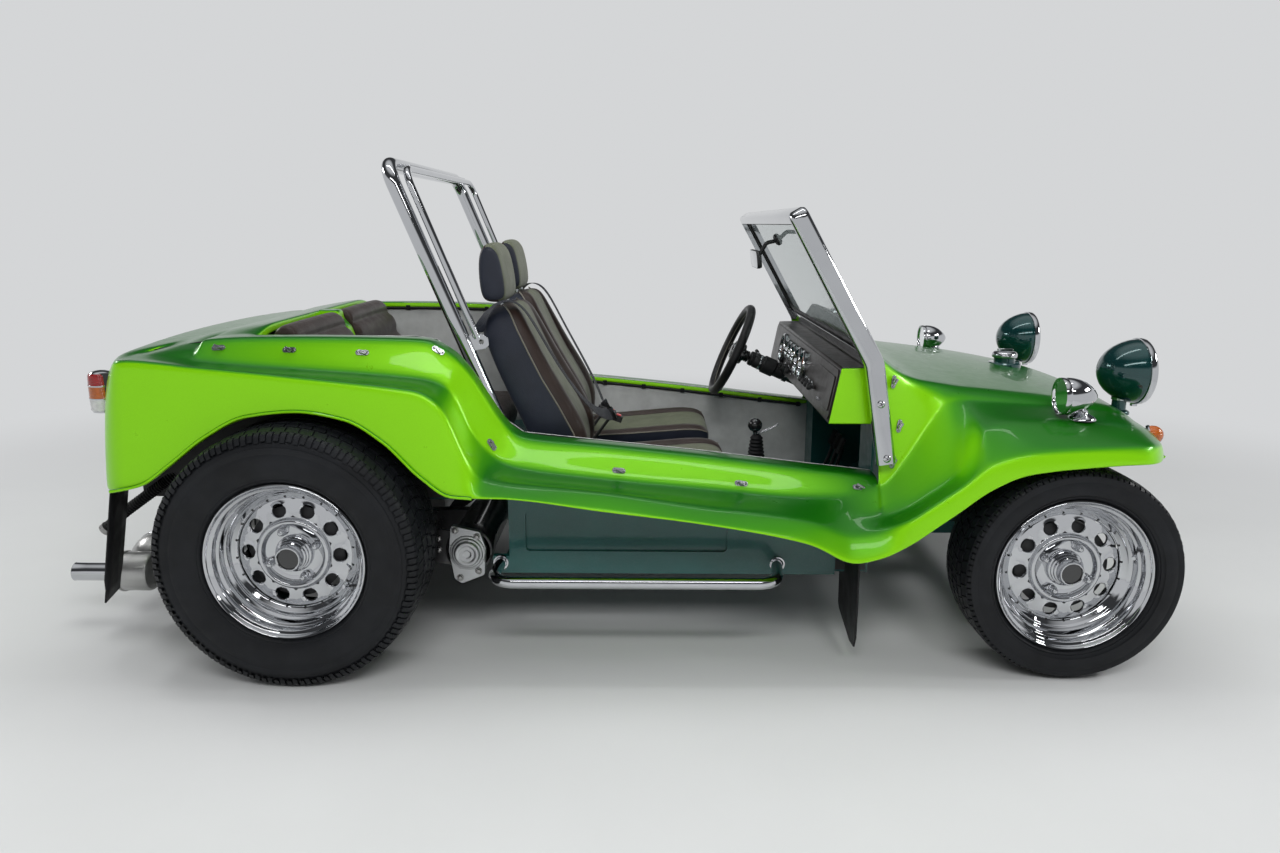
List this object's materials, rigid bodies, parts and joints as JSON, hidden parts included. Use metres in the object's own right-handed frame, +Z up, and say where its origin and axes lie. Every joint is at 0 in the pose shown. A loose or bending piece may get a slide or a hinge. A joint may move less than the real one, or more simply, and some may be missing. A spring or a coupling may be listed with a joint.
{
  "type": "dune buggy",
  "caption": "Open short-wheelbase buggy with a moulded green tub, wide dished wheels, roll bar, low screen and a rear engine.",
  "frame": {"origin": "on the ground under the middle of the car's length and width", "axes": "+X forward, +Y to the car's left, +Z up"},
  "size_m": [3.162, 1.7, 1.359],
  "materials": {
    "body_paint": "gloss metallic lime green",
    "floor_paint": "satin speckled teal",
    "liner_cloth": "finely ribbed light grey",
    "dash_gloss": "dark polished",
    "frame_polish": "polished",
    "glass_tint": "lightly tinted",
    "bar_chrome": "chromed roll bar tube",
    "step_chrome": "chromed tube",
    "flap_rubber": "matt",
    "lamp_paint": "gloss teal",
    "lens_glass": "clear fluted",
    "amber_lens": "amber",
    "mirror_chrome": "chromed",
    "red_lens": "red",
    "filler_chrome": "chromed",
    "tank_paint": "satin black",
    "seat_leather": "dark brown, soft sheen",
    "lever_black": "black",
    "wheel_rim_cover": "black stitched",
    "chassis_black": "satin black",
    "cast_silver": "as cast",
    "engine_cast": "as cast",
    "shroud_black": "gloss black",
    "exhaust_steel": "worn",
    "tyre": "matt",
    "wheel_chrome": "chromed steel",
    "drum_iron": "dark"
  },
  "bodies": {
    "car": {"body_side_left": "body_paint", "body_side_right": "body_paint", "front_wing_left": "body_paint", "front_wing_right": "body_paint", "hood": "body_paint", "rear_deck": "body_paint", "cockpit_liners": "liner_cloth", "rear_floor": "floor_paint", "front_bulkhead": "floor_paint", "floor_pan": "floor_paint", "heater_channels": "floor_paint", "dashboard": "dash_gloss", "windscreen_frame": "frame_polish", "windscreen_glass": "glass_tint", "roll_bar": "bar_chrome", "side_steps": "step_chrome", "mud_flaps": "flap_rubber", "headlamps": "lamp_paint", "headlamp_lenses": "lens_glass", "turn_signals": "amber_lens", "door_mirrors": "mirror_chrome", "tail_lamps": "red_lens", "fuel_filler": "filler_chrome", "fuel_tank": "tank_paint", "seat_cushions": "seat_leather", "seat_backs": "seat_leather", "headrests": "seat_leather", "seat_bases": "chassis_black", "rear_bench": "seat_leather", "gear_lever": "lever_black", "pedals": "chassis_black", "steering_column": "chassis_black", "torsion_housing": "cast_silver", "spring_plates": "chassis_black", "transaxle": "engine_cast", "engine_case": "engine_cast", "fan_shroud": "shroud_black", "generator": "shroud_black", "exhaust": "exhaust_steel", "head_pipes": "exhaust_steel", "front_beam": "chassis_black"},
    "steering_wheel": {"steering_wheel": "wheel_rim_cover"},
    "knuckle_left": {"knuckle_left": "chassis_black"},
    "knuckle_right": {"knuckle_right": "chassis_black"},
    "track_rod": {"track_rod": "chassis_black"},
    "front_wheel_left": {"tyre_front_left": "tyre", "rim_front_left": "wheel_chrome", "drum_front_left": "drum_iron"},
    "front_wheel_right": {"tyre_front_right": "tyre", "rim_front_right": "wheel_chrome", "drum_front_right": "drum_iron"},
    "rear_wheel_left": {"tyre_rear_left": "tyre", "rim_rear_left": "wheel_chrome", "drum_rear_left": "drum_iron"},
    "rear_wheel_right": {"tyre_rear_right": "tyre", "rim_rear_right": "wheel_chrome", "drum_rear_right": "drum_iron"}
  },
  "joints": [
    {"name": "steer_left", "type": "hinge", "parent": "car", "child": "knuckle_left", "pos_m": [1.239, 0.578, 0.288], "axis": [0, 0, 1], "range_deg": [-28, 28]},
    {"name": "steer_right", "type": "hinge", "parent": "car", "child": "knuckle_right", "pos_m": [1.239, -0.578, 0.288], "axis": [0, 0, 1], "range_deg": [-28, 28]},
    {"name": "steering_wheel_turn", "type": "hinge", "parent": "car", "child": "steering_wheel", "pos_m": [0.429, 0.33, 0.736], "axis": [-0.9135, 0, 0.4067], "range_deg": [-400, 400]},
    {"name": "track_rod_slide", "type": "slide", "parent": "car", "child": "track_rod", "axis": [0, 1, 0], "range_m": [-0.06, 0.06]},
    {"name": "front_wheel_left_spin", "type": "hinge", "parent": "knuckle_left", "child": "front_wheel_left", "pos_m": [1.239, 0.668, 0.288], "axis": [0, 1, 0], "continuous": true},
    {"name": "front_wheel_right_spin", "type": "hinge", "parent": "knuckle_right", "child": "front_wheel_right", "pos_m": [1.239, -0.668, 0.288], "axis": [0, 1, 0], "continuous": true},
    {"name": "rear_wheel_left_spin", "type": "hinge", "parent": "car", "child": "rear_wheel_left", "pos_m": [-0.791, 0.716, 0.3435], "axis": [0, 1, 0], "continuous": true},
    {"name": "rear_wheel_right_spin", "type": "hinge", "parent": "car", "child": "rear_wheel_right", "pos_m": [-0.791, -0.716, 0.3435], "axis": [0, 1, 0], "continuous": true}
  ],
  "couplings": [
    {"joint": "steer_right", "follows": "steer_left", "ratio": 1},
    {"joint": "steering_wheel_turn", "follows": "steer_left", "ratio": 14},
    {"joint": "track_rod_slide", "follows": "steer_left", "m_per_rad": -0.115}
  ]
}
